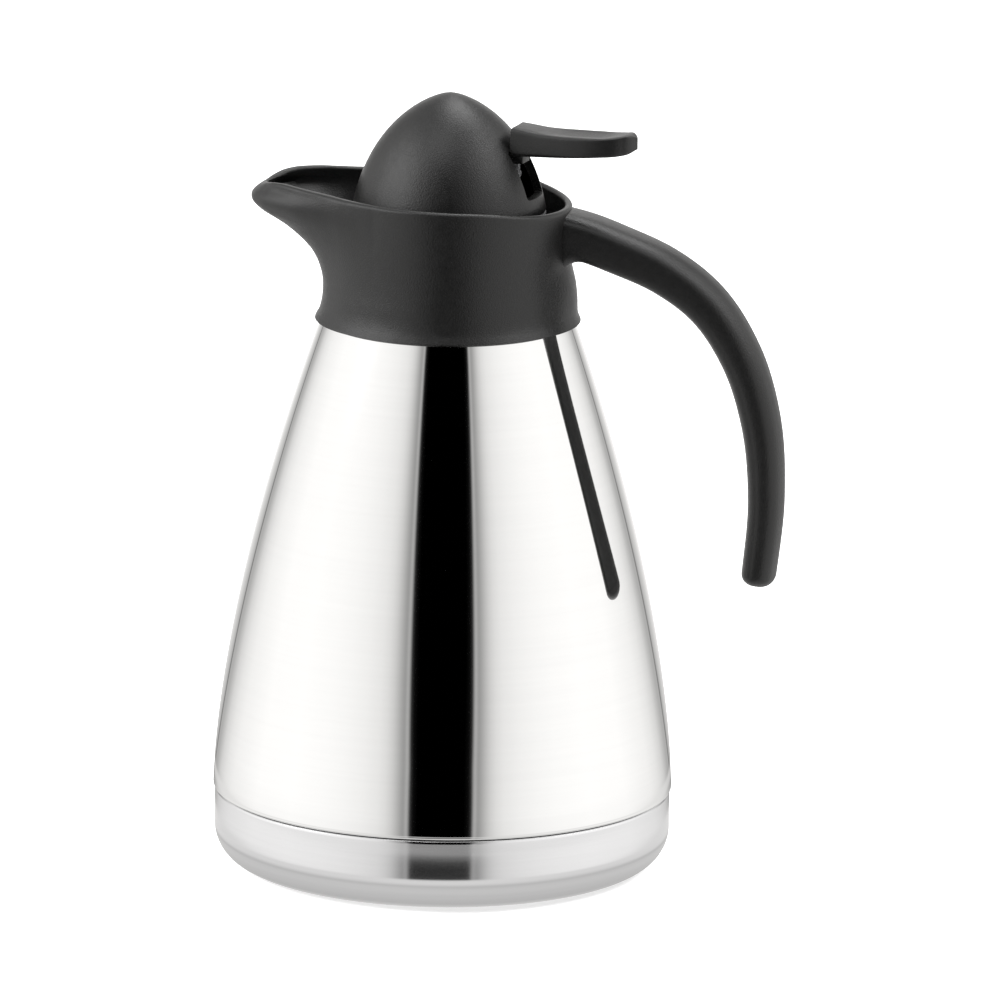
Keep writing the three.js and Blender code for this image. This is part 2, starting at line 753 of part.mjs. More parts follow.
function valveRod() {
  const collarTop = ROD_COLLAR_Z + ROD_COLLAR_T;
  return turned(
    [
      [0, ROD_FOOT_Z - 3],
      [ROD_R, ROD_FOOT_Z - 2.4],
      [ROD_R, ROD_COLLAR_Z],
      [ROD_COLLAR_R, ROD_COLLAR_Z],
      [ROD_COLLAR_R, collarTop],
      [ROD_R, collarTop],
      [ROD_R, ROD_TOP_Z - 0.5],
      [ROD_R - 0.5, ROD_TOP_Z],
      [0, ROD_TOP_Z],
    ],
    20,
  );
}

const rodNut = () => ring(ROD_R + CLEAR, NUT_R, NUT_Z, NUT_Z + NUT_T, 6);

const sealZ = PLUG_FOOT_Z + PLUG_WALL + CLEAR;
const valveSeal = () => ring(ROD_R + CLEAR, SEAL_R, sealZ, sealZ + SEAL_T, 32);

function valveDisc() {
  const low = sealZ + SEAL_T + CLEAR;
  return turnedRing(
    [
      [ROD_R + CLEAR, low],
      [DISC_R, low],
      [DISC_R, low + 1.4],
      [6, low + DISC_T],
      [5, low + 5],
      [ROD_R + CLEAR, low + 5],
    ],
    32,
  );
}

/** Clip below the seal that holds the valve together on its rod. */
const valveClip = () => ring(ROD_R + CLEAR, 5, sealZ - CLEAR - 1.2, sealZ - CLEAR, 24);

function valveSpring() {
  const low = ROD_COLLAR_Z + ROD_COLLAR_T + CLEAR + WIRE_R;
  const high = PLATE_Z - CLEAR - WIRE_R;
  class Helix extends THREE.Curve {
    getPoint(share, target = new THREE.Vector3()) {
      const angle = share * SPRING_TURNS * 2 * Math.PI;
      const z = THREE.MathUtils.lerp(low, high, share);
      return target.set(SPRING_R * Math.cos(angle), SPRING_R * Math.sin(angle), z);
    }
  }
  const wire = new THREE.Shape();
  wire.absarc(0, 0, WIRE_R, 0, 2 * Math.PI);
  return new THREE.ExtrudeGeometry(wire, {
    steps: SPRING_TURNS * 12,
    extrudePath: new Helix(),
    curveSegments: 3,
  });
}

// ---- Assembly ---------------------------------------------------------------------------

const finishes = {
  polishedSteel: { color: 0xd9dadb, roughness: 0.06, metalness: 1 },
  drawnSteel: { color: 0xb9babc, roughness: 0.35, metalness: 1 },
  copper: { color: 0xb87346, roughness: 0.3, metalness: 1 },
  getterAlloy: { color: 0x6f6f72, roughness: 0.7, metalness: 0.8 },
  solderGlass: { color: 0x3c4a3e, roughness: 0.3, metalness: 0 },
  charcoalPlastic: { color: 0x3f4041, roughness: 0.55, metalness: 0 },
  greyPlastic: { color: 0x9a9b9c, roughness: 0.5, metalness: 0 },
  silicone: { color: 0xc9cac8, roughness: 0.6, metalness: 0 },
  pinSteel: { color: 0xc2c3c5, roughness: 0.25, metalness: 1 },
};

const pieces = [
  ["outer_shell", outerShell(), "polishedSteel"],
  ["inner_flask", innerFlask(), "drawnSteel"],
  ["shell_dish", shellDish(), "drawnSteel"],
  ["radiation_foil", radiationFoil(), "copper"],
  ["getter_pad", getter(), "getterAlloy"],
  ["evacuation_seal", evacuationSeal(), "solderGlass"],
  ["base_cup", baseCup(), "polishedSteel"],
  ["collar", collar(), "charcoalPlastic"],
  ["throat_ring", throatRing(), "greyPlastic"],
  ["neck_seal", neckSeal(), "silicone"],
  ["handle", handle(), "charcoalPlastic"],
  ["stopper_gasket", stopperGasket(), "silicone"],
  ["stopper_body", stopperBody(), "greyPlastic"],
  ["dome", dome().rotateZ(STOPPER_TURN), "charcoalPlastic"],
  ["lever_bracket", leverBracket().rotateZ(STOPPER_TURN), "greyPlastic"],
  ["bracket_screw_near", bracketScrew(-1).rotateZ(STOPPER_TURN), "pinSteel"],
  ["bracket_screw_far", bracketScrew(1).rotateZ(STOPPER_TURN), "pinSteel"],
  ["lever", lever().rotateZ(STOPPER_TURN), "charcoalPlastic"],
  ["lever_pin", leverPin().rotateZ(STOPPER_TURN), "pinSteel"],
  ["valve_rod", valveRod(), "pinSteel"],
  ["rod_nut", rodNut(), "pinSteel"],
  ["valve_disc", valveDisc(), "greyPlastic"],
  ["valve_seal", valveSeal(), "silicone"],
  ["valve_clip", valveClip(), "pinSteel"],
  ["valve_spring", valveSpring(), "pinSteel"],
];

const jug = new THREE.Group();
for (const [name, geometry, finish] of pieces) {
  const mesh = new THREE.Mesh(geometry, new THREE.MeshStandardMaterial(finishes[finish]));
  mesh.name = name;
  jug.add(mesh);
}

export default jug;
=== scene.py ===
"""A double-walled vacuum serving jug with a lever stopper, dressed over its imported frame.

Sizes are in millimetres and are turned into metres as each mesh is made. The jug stands on the
origin, +Z is up, +X points to the handle and -X to the pouring lip.
"""

import logging
import math
from collections.abc import Callable, Sequence
from dataclasses import dataclass
from enum import Enum
from itertools import pairwise

import bpy
import numpy as np
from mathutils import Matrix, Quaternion, Vector


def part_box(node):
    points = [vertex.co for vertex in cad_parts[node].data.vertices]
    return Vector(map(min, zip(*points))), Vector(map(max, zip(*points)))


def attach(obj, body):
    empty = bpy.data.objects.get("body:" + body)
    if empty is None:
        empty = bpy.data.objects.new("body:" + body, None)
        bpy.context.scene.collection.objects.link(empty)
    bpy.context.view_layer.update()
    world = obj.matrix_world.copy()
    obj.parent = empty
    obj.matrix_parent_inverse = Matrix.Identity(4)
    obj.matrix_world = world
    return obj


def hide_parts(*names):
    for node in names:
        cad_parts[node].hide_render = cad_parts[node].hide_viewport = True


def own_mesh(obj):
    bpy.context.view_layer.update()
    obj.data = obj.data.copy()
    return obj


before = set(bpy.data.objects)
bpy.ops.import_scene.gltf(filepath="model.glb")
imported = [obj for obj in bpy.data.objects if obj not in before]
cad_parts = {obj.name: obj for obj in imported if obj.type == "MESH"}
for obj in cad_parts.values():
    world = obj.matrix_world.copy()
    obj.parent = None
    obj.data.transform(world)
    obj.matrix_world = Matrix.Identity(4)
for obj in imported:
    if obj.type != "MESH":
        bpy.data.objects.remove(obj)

MM = 0.001
STOPPER_TURN = math.radians(-10.0)
LOG = logging.getLogger("serving_jug")
Pair = tuple[float, float]
Places = Callable[[np.ndarray], np.ndarray]
Laying = Callable[[np.ndarray, np.ndarray], np.ndarray]


class Slot(Enum):
    """The record's material slots."""

    POLISHED_STEEL = "polished_steel"
    DRAWN_STEEL = "drawn_steel"
    COPPER = "copper_foil"
    GETTER = "getter_alloy"
    GLASS = "solder_glass"
    CHARCOAL = "charcoal_plastic"
    GREY = "grey_plastic"
    SILICONE = "silicone"
    PIN_STEEL = "pin_steel"


class Body(Enum):
    """The rigid bodies of the jug."""

    JUG = "jug"
    GASKET = "gasket"
    STOPPER = "stopper"
    LEVER = "lever"
    VALVE = "valve"


# ---- Shader maths --------------------------------------------------------------------------


class Value:
    """A socket of a shader tree that can be used in ordinary arithmetic."""

    def __init__(self, tree: "ShaderTree", socket: bpy.types.NodeSocket) -> None:
        """Wraps one output socket.

        Args:
            tree: The tree that the socket belongs to.
            socket: The output socket.
        """
        self.tree = tree
        self.socket = socket

    def _with(self, operation: str, *terms: "Value | float") -> "Value":
        """Adds one Math node over the terms and returns its result."""
        return self.tree.node("ShaderNodeMath", {"operation": operation}, dict(enumerate(terms)))

    def __add__(self, other: "Value | float") -> "Value":
        """Sum."""
        return self._with("ADD", self, other)

    __radd__ = __add__

    def __sub__(self, other: "Value | float") -> "Value":
        """Difference."""
        return self._with("SUBTRACT", self, other)

    def __rsub__(self, other: float) -> "Value":
        """Difference the other way round."""
        return self._with("SUBTRACT", other, self)

    def __mul__(self, other: "Value | float") -> "Value":
        """Product."""
        return self._with("MULTIPLY", self, other)

    __rmul__ = __mul__

    def __truediv__(self, other: "Value | float") -> "Value":
        """Quotient."""
        return self._with("DIVIDE", self, other)

    def __abs__(self) -> "Value":
        """Size without its sign."""
        return self._with("ABSOLUTE", self)


class ShaderTree:
    """The node tree of one material, with one method that adds any node."""

    def __init__(self, name: str) -> None:
        """Starts an empty material.

        Args:
            name: The material's name.
        """
        self.material = bpy.data.materials.new(name)
        self.material.use_nodes = True
        self.tree = self.material.node_tree
        self.tree.nodes.clear()

    def node(
        self,
        kind: str,
        settings: dict[str, object] | None = None,
        inputs: dict[str | int, object] | None = None,
        output: str | int = 0,
    ) -> Value:
        """Adds a node, sets it up and feeds it.

        Args:
            kind: Blender's name for the type of node.
            settings: Properties of the node; "stops" fills a colour ramp.
            inputs: Values or links for the input sockets, by name or number.
            output: The output socket to return.

        Returns:
            The chosen output, ready for arithmetic.
        """
        made = self.tree.nodes.new(kind)
        for key, setting in (settings or {}).items():
            if key == "stops":
                self._fill_ramp(made, setting)
            else:
                setattr(made, key, setting)
        for key, given in (inputs or {}).items():
            socket = made.inputs[key]
            if isinstance(given, Value):
                self.tree.links.new(given.socket, socket)
            else:
                socket.default_value = given
        return Value(self, made.outputs[output])

    def _fill_ramp(self, ramp: bpy.types.Node, stops: Sequence[tuple[float, float]]) -> None:
        """Sets a ramp's grey stops from pairs of place and brightness."""
        elements = ramp.color_ramp.elements
        while len(elements) < len(stops):
            elements.new(1.0)
        for element, (place, grey) in zip(elements, stops, strict=True):
            element.position = place
            element.color = (grey, grey, grey, 1)

    def place(self, stretch: tuple[float, float, float]) -> Value:
        """The point on the piece, in metres, stretched along each axis."""
        point = self.node("ShaderNodeTexCoord", output="Object")
        return self.node(
            "ShaderNodeVectorMath", {"operation": "MULTIPLY"}, {0: point, 1: stretch}
        )

    def noise(self, stretch: tuple[float, float, float], detail: float = 2.0) -> Value:
        """A noise from nought to one, whose frequencies for each metre are the stretch."""
        settings = {"noise_dimensions": "3D"}
        inputs = {"Vector": self.place(stretch), "Scale": 1.0, "Detail": detail}
        return self.node("ShaderNodeTexNoise", settings, inputs, output="Fac")

    def ramp(self, value: Value, stops: Sequence[Pair]) -> Value:
        """The brightness that a value has along a grey ramp."""
        return self.node("ShaderNodeValToRGB", {"stops": stops}, {0: value})

    def mixed(self, share: Value, first: Sequence[float], second: Sequence[float]) -> Value:
        """A colour between two, by a share."""
        return self.node(
            "ShaderNodeMix",
            {"data_type": "RGBA"},
            {0: share, 6: (*first, 1.0), 7: (*second, 1.0)},
            output=2,
        )

    def bump(self, height: Value, depth: float) -> Value:
        """A normal from a height, whose depth is in metres."""
        inputs = {"Height": height, "Distance": depth, "Strength": 1.0}
        return self.node("ShaderNodeBump", None, inputs)

    def surface(self, inputs: dict[str | int, object]) -> bpy.types.Material:
        """Closes the tree with one principled surface."""
        shader = self.node("ShaderNodeBsdfPrincipled", None, inputs)
        self.node_out(shader)
        return self.material

    def node_out(self, shader: Value) -> None:
        """Leads a shader to the material's output."""
        end = self.tree.nodes.new("ShaderNodeOutputMaterial")
        self.tree.links.new(shader.socket, end.inputs["Surface"])


# ---- Finishes ------------------------------------------------------------------------------


@dataclass(frozen=True)
class Steel:
    """Steel turned and buffed round the jug's axis.

    The wave is the slight unevenness of the sheet, the hairlines are what buffing leaves.
    """

    slot: Slot
    name: str
    tint: tuple[float, float, float]
    shade: tuple[float, float, float]
    roughness: float
    roughness_spread: float
    wave_depth: float = 2.5e-5
    hairline_depth: float = 7.0e-8

    def material(self) -> bpy.types.Material:
        """Builds the finish.

        Returns:
            The new material.
        """
        tree = ShaderTree(self.name)
        hairlines = tree.noise((28.0, 28.0, 5200.0), detail=3.0)
        streaks = tree.noise((14.0, 14.0, 620.0))
        wave = tree.noise((22.0, 22.0, 9.0), detail=0.0)
        smear = tree.noise((30.0, 30.0, 46.0), detail=4.0)
        height = wave + hairlines * (self.hairline_depth / self.wave_depth)
        rough = self.roughness + (streaks - 0.5) * self.roughness_spread
        rough = rough + (smear - 0.5) * (self.roughness_spread * 0.6)
        return tree.surface(
            {
                "Base Color": tree.mixed(streaks, self.tint, self.shade),
                "Metallic": 1.0,
                "Roughness": rough,
                "Normal": tree.bump(height, self.wave_depth),
            }
        )


@dataclass(frozen=True)
class MouldedPlastic:
    """A satin moulding with the fine spark-eroded grain of its tool."""

    slot: Slot
    name: str
    dark: tuple[float, float, float]
    light: tuple[float, float, float]
    roughness: float
    gloss: float = 0.45
    grain_per_metre: float = 2300.0
    grain_depth: float = 9.0e-5

    def material(self) -> bpy.types.Material:
        """Builds the finish.

        Returns:
            The new material.
        """
        tree = ShaderTree(self.name)
        grain = tree.noise((self.grain_per_metre,) * 3, detail=3.0)
        mottle = tree.noise((420.0, 420.0, 420.0), detail=3.0)
        flow = tree.noise((36.0, 36.0, 22.0), detail=1.0)
        share = grain * 0.55 + mottle * 0.25 + flow * 0.2
        return tree.surface(
            {
                "Base Color": tree.mixed(share, self.dark, self.light),
                "Roughness": self.roughness + (mottle - 0.5) * 0.12 + (flow - 0.5) * 0.08,
                "Specular IOR Level": self.gloss,
                "Normal": tree.bump(grain, self.grain_depth),
            }
        )


@dataclass(frozen=True)
class Rubbery:
    """Silicone with a dusty, slightly uneven skin that lets a little light in."""

    slot: Slot
    name: str
    dark: tuple[float, float, float]
    light: tuple[float, float, float]

    def material(self) -> bpy.types.Material:
        """Builds the finish.

        Returns:
            The new material.
        """
        tree = ShaderTree(self.name)
        dust = tree.noise((900.0, 900.0, 900.0), detail=4.0)
        return tree.surface(
            {
                "Base Color": tree.mixed(dust, self.dark, self.light),
                "Roughness": 0.52 + (dust - 0.5) * 0.2,
                "Subsurface Weight": 0.2,
                "Subsurface Scale": 0.001,
                "Normal": tree.bump(dust, 8.0e-6),
            }
        )


@dataclass(frozen=True)
class Foil:
    """Rolled foil or pressed powder, crinkled at a coarse and a fine scale."""

    slot: Slot
    name: str
    tint: tuple[float, float, float]
    shade: tuple[float, float, float]
    metallic: float
    roughness: float

    def material(self) -> bpy.types.Material:
        """Builds the finish.

        Returns:
            The new material.
        """
        tree = ShaderTree(self.name)
        crinkle = tree.noise((160.0, 160.0, 90.0), detail=5.0)
        return tree.surface(
            {
                "Base Color": tree.mixed(crinkle, self.tint, self.shade),
                "Metallic": self.metallic,
                "Roughness": self.roughness + (crinkle - 0.5) * 0.2,
                "Normal": tree.bump(crinkle, 2.0e-4),
            }
        )


Finish = Steel | MouldedPlastic | Rubbery | Foil

MIRROR = Steel(
    Slot.POLISHED_STEEL, "mirror_steel", (0.905, 0.905, 0.90), (0.87, 0.87, 0.868), 0.035, 0.03
)
BUFFED = Steel(
    Slot.POLISHED_STEEL,
    "buffed_steel",
    (0.86, 0.86, 0.868),
    (0.80, 0.80, 0.81),
    0.11,
    0.06,
    wave_depth=2e-5,
    hairline_depth=4e-7,
)
DRAWN = Steel(
    Slot.DRAWN_STEEL,
    "drawn_steel",
    (0.66, 0.66, 0.665),
    (0.56, 0.56, 0.57),
    0.3,
    0.12,
    wave_depth=4e-5,
    hairline_depth=1e-6,
)
TURNED = Steel(
    Slot.PIN_STEEL,
    "turned_steel",
    (0.70, 0.70, 0.71),
    (0.58, 0.585, 0.60),
    0.24,
    0.1,
    wave_depth=3e-5,
    hairline_depth=9e-7,
)
CHARCOAL = MouldedPlastic(
    Slot.CHARCOAL, "charcoal_moulding", (0.0016, 0.0016, 0.0016), (0.0060, 0.0059, 0.0058), 0.34
)
GREY = MouldedPlastic(
    Slot.GREY, "grey_moulding", (0.13, 0.13, 0.133), (0.18, 0.18, 0.183), 0.46
)
SILICONE = Rubbery(Slot.SILICONE, "silicone", (0.50, 0.51, 0.50), (0.62, 0.63, 0.62))
COPPER = Foil(Slot.COPPER, "copper_foil", (0.72, 0.44, 0.27), (0.60, 0.34, 0.20), 1.0, 0.3)
GETTER = Foil(Slot.GETTER, "getter_alloy", (0.34, 0.34, 0.35), (0.22, 0.22, 0.23), 0.7, 0.75)
GLASS = Foil(Slot.GLASS, "solder_glass", (0.10, 0.13, 0.11), (0.16, 0.20, 0.17), 0.0, 0.15)


class Dresser:
    """Keeps one material for each finish and gives pieces their bodies and slots."""

    def __init__(self) -> None:
        """Starts with no material made."""
        self._made: dict[str, bpy.types.Material] = {}

    def material(self, finish: Finish) -> bpy.types.Material:
        """The finish's material, made the first time it is asked for."""
        if finish.name not in self._made:
            self._made[finish.name] = finish.material()
        return self._made[finish.name]

    def dress(
        self, piece: bpy.types.Object, finish: Finish, body: Body, *nodes: str
    ) -> bpy.types.Object:
        """Finishes a new piece and ties it to the frame.

        Args:
            piece: The new piece, in place.
            finish: What it is made of.
            body: The body it moves with.
            *nodes: The frame's nodes that it stands for.

        Returns:
            The same piece.
        """
        piece.data.materials.clear()
        piece.data.materials.append(self.material(finish))
        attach(piece, body.value)
        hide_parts(*nodes)
        LOG.info("%s: %d faces, moves with %s", piece.name, len(piece.data.polygons), body.value)
        return piece

    def keep(self, node: str, finish: Finish) -> None:
        """Gives one of the frame's own nodes a finish.

        Args:
            node: The node's name.
            finish: What it is made of.
        """
        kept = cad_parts[node]
        kept.data.materials.clear()
        kept.data.materials.append(self.material(finish))
        LOG.info("%s: kept from the frame", node)


# ---- Modelling -----------------------------------------------------------------------------


def deselect() -> None:
    """Leaves edit mode and clears the selection."""
    if bpy.context.object and bpy.context.object.mode != "OBJECT":
        bpy.ops.object.mode_set(mode="OBJECT")
    bpy.ops.object.select_all(action="DESELECT")


def arc(cx: float, cz: float, radius: float, start: float, end: float, steps: int) -> list[Pair]:
    """Points on a round corner of a profile.

    Args:
        cx: The centre's distance from the axis.
        cz: The centre's height.
        radius: The corner's radius.
        start: The first point's direction in degrees, nought pointing outwards.
        end: The last point's direction in degrees.
        steps: How many straight pieces the corner has.

    Returns:
        The points, from start to end.
    """
    angles = np.radians(np.linspace(start, end, steps + 1))
    return [(cx + radius * math.cos(a), cz + radius * math.sin(a)) for a in angles]


def bezier(points: Sequence[Pair], steps: int) -> list[Pair]:
    """Points along a cubic curve.

    Args:
        points: Its start, its two handles and its end.
        steps: How many straight pieces the curve has.

    Returns:
        The points, from start to end.
    """
    share = np.linspace(0.0, 1.0, steps + 1)[:, None]
    a, b, c, d = (np.array(p, float) for p in points)
    curve = (1 - share) ** 3 * a + 3 * share * (1 - share) ** 2 * b
    curve = curve + 3 * share**2 * (1 - share) * c + share**3 * d
    return [(float(x), float(z)) for x, z in curve]


def oval(value: np.ndarray, power: np.ndarray | float) -> np.ndarray:
    """Squares up a round section: the lower the power, the sharper its corners."""
    return np.sign(value) * np.abs(value) ** power


def smooth_step(value: np.ndarray, start: float, end: float) -> np.ndarray:
    """Nought below the start, one above the end, smooth between."""
    share = np.clip((value - start) / (end - start), 0.0, 1.0)
    return share * share * (3.0 - 2.0 * share)


def smooth_curve(stops: Sequence[Pair]) -> Callable[[np.ndarray], np.ndarray]:
    """A smooth function through a few stops, level beyond the first and the last.

    Args:
        stops: Pairs of place and value, in order of place.

    Returns:
        A function from places to values.
    """
    xs, ys = (np.array(column, float) for column in zip(*stops))
    slopes = np.gradient(ys, xs)

    def read(at: np.ndarray) -> np.ndarray:
        """Reads the curve with cubic pieces between the stops."""
        at = np.clip(np.asarray(at, float), xs[0], xs[-1])
        i = np.clip(np.searchsorted(xs, at) - 1, 0, len(xs) - 2)
        gap = xs[i + 1] - xs[i]
        t = (at - xs[i]) / gap
        start = (1 + 2 * t) * (1 - t) ** 2 * ys[i] + t * (1 - t) ** 2 * gap * slopes[i]
        return start + t * t * (3 - 2 * t) * ys[i + 1] + t * t * (t - 1) * gap * slopes[i + 1]

    return read


def turn(
    name: str, profile: Sequence[Pair], steps: int = 160, closed: bool = True
) -> bpy.types.Object:
    """Turns a profile round the jug's axis: one point is drawn out into a line, then spun.

    Args:
        name: The piece's name.
        profile: Pairs of radius and height, up the outside and down the inside.
        steps: How many faces go round the piece.
        closed: Whether the profile closes on itself, rather than on the axis.

    Returns:
        The piece, with its faces pointing outwards.
    """
    line = [*profile, profile[0]] if closed else list(profile)
    deselect()
    bpy.ops.mesh.primitive_plane_add(size=MM, location=(0, 0, 0))
    piece = bpy.context.active_object
    piece.name = piece.data.name = name
    bpy.ops.object.mode_set(mode="EDIT")
    bpy.ops.mesh.select_all(action="SELECT")
    bpy.ops.mesh.merge(type="CENTER")
    bpy.ops.transform.translate(value=(line[0][0] * MM, 0, line[0][1] * MM))
    for (r0, z0), (r1, z1) in pairwise(line):
        bpy.ops.mesh.extrude_region_move(
            TRANSFORM_OT_translate={"value": ((r1 - r0) * MM, 0, (z1 - z0) * MM)}
        )
    bpy.ops.mesh.select_all(action="SELECT")
    bpy.ops.mesh.spin(steps=steps, angle=2 * math.pi, center=(0, 0, 0), axis=(0, 0, 1))
    bpy.ops.mesh.select_all(action="SELECT")
    bpy.ops.mesh.remove_doubles(threshold=2e-6)
    bpy.ops.mesh.normals_make_consistent(inside=False)
    bpy.ops.object.mode_set(mode="OBJECT")
    return smoothed(piece)


def loft(name: str, around: int, stations: int, place: Laying) -> bpy.types.Object:
    """Draws a ring out into a closed bar and lays it along its line.

    Args:
        name: The piece's name.
        around: How many points each ring has.
        stations: How many rings there are.
        place: Gives the places, in millimetres, of points at a share of the length and an
            angle round the bar.

    Returns:
        The piece, with its faces pointing outwards.
    """
    deselect()
    bpy.ops.mesh.primitive_circle_add(vertices=around, radius=1.0, fill_type="NGON")
    piece = bpy.context.active_object
    piece.name = piece.data.name = name
    bpy.ops.object.mode_set(mode="EDIT")
    bpy.ops.mesh.select_all(action="SELECT")
    for _ in range(stations - 1):
        bpy.ops.mesh.extrude_region_move(TRANSFORM_OT_translate={"value": (0, 0, 1.0)})
    bpy.ops.mesh.select_all(action="SELECT")
    bpy.ops.mesh.normals_make_consistent(inside=False)
    bpy.ops.object.mode_set(mode="OBJECT")

    def laid(p: np.ndarray) -> np.ndarray:
        """Reads a point's station and its angle round the ring."""
        return place(p[:, 2] / (stations - 1), np.arctan2(p[:, 1], p[:, 0]))

    reshape(piece, laid, 1.0)
    bpy.ops.object.mode_set(mode="EDIT")
    bpy.ops.mesh.select_all(action="SELECT")
    bpy.ops.mesh.normals_make_consistent(inside=False)
    bpy.ops.object.mode_set(mode="OBJECT")
    return smoothed(piece)


def reshape(piece: bpy.types.Object, places: Places, unit: float = MM) -> bpy.types.Object:
    """Moves every point of a piece by a rule.

    Args:
        piece: The piece.
        places: Takes the points and returns them moved, in millimetres.
        unit: The size in metres of one unit of the points handed to the rule.

    Returns:
        The same piece.
    """
    flat = np.zeros(len(piece.data.vertices) * 3, np.float32)
    piece.data.vertices.foreach_get("co", flat)
    moved = places(flat.reshape(-1, 3).astype(float) / unit) * MM
    piece.data.vertices.foreach_set("co", moved.astype(np.float32).ravel())
    piece.data.update()
    return piece


def turned(piece: bpy.types.Object, angle: float) -> bpy.types.Object:
    """Turns a piece about the jug's axis, with its place kept in its mesh."""
    deselect()
    piece.select_set(True)
    bpy.context.view_layer.objects.active = piece
    piece.rotation_euler.z = angle
    bpy.ops.object.transform_apply(location=True, rotation=True, scale=True)
    return piece


def smoothed(piece: bpy.types.Object, degrees: float = 32.0) -> bpy.types.Object:
    """Shades a piece smooth across its gentle edges."""
    deselect()
    piece.select_set(True)
    bpy.context.view_layer.objects.active = piece
    bpy.ops.object.shade_smooth_by_angle(angle=math.radians(degrees))
    return piece


def box(
    name: str, low: Sequence[float], high: Sequence[float], soften: float = 0.0
) -> bpy.types.Object:
    """A rectangular block between two corners, its edges bevelled.

    Args:
        name: The piece's name.
        low: Its lowest corner.
        high: Its highest corner.
        soften: The width of the bevel.

    Returns:
        The block.
    """
    low, high = np.array(low, float), np.array(high, float)
    deselect()
    bpy.ops.mesh.primitive_cube_add(size=MM, location=tuple((low + high) / 2 * MM))
    piece = bpy.context.active_object
    piece.name = piece.data.name = name
    bpy.ops.object.mode_set(mode="EDIT")
    bpy.ops.mesh.select_all(action="SELECT")
    bpy.ops.transform.resize(value=tuple(high - low))
    if soften:
        bpy.ops.mesh.bevel(offset=soften * MM, segments=3, affect="EDGES")
    bpy.ops.object.mode_set(mode="OBJECT")
    bpy.ops.object.transform_apply(location=True, rotation=True, scale=True)
    return smoothed(piece)


def bar_y(
    name: str, radius: float, half: float, x: float, z: float, soften: float = 0.0
) -> bpy.types.Object:
    """A round bar across the jug, its end edges bevelled.

    Args:
        name: The piece's name.
        radius: The bar's radius.
        half: Half of the bar's length.
        x: The place of its middle along X.
        z: The height of its middle.
        soften: The width of the bevel.

    Returns:
        The bar.
    """
    deselect()
    bpy.ops.mesh.primitive_cylinder_add(
        vertices=40,
        radius=radius * MM,
        depth=2 * half * MM,
        location=(x * MM, 0, z * MM),
        rotation=(math.pi / 2, 0, 0),
    )
    piece = bpy.context.active_object
    piece.name = piece.data.name = name
    bpy.ops.object.transform_apply(location=True, rotation=True, scale=True)
    if soften:
        apply_modifier(piece, "BEVEL", width=soften * MM, segments=2, limit_method="ANGLE")
    return smoothed(piece)


def apply_modifier(piece: bpy.types.Object, kind: str, **settings: object) -> None:
    """Adds a modifier with its settings and applies it.

    Args:
        piece: The piece.
        kind: Blender's name for the modifier's type.
        **settings: The modifier's settings.
    """
    deselect()
    piece.select_set(True)
    bpy.context.view_layer.objects.active = piece
    modifier = piece.modifiers.new(kind.lower(), kind)
    for key, setting in settings.items():
        setattr(modifier, key, setting)
    bpy.ops.object.modifier_apply(modifier=modifier.name)


def combine(piece: bpy.types.Object, tool: bpy.types.Object, operation: str) -> bpy.types.Object:
    """Cuts a tool out of a piece or joins it on, and removes the tool."""
    apply_modifier(piece, "BOOLEAN", object=tool, operation=operation, solver="EXACT")
    bpy.data.objects.remove(tool)
    return smoothed(piece)


def corner_box(node: str) -> tuple[np.ndarray, np.ndarray]:
    """A frame node's lowest and highest corners, in millimetres."""
    low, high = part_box(node)
    return np.array(low) / MM, np.array(high) / MM


# ---- The vessel ----------------------------------------------------------------------------


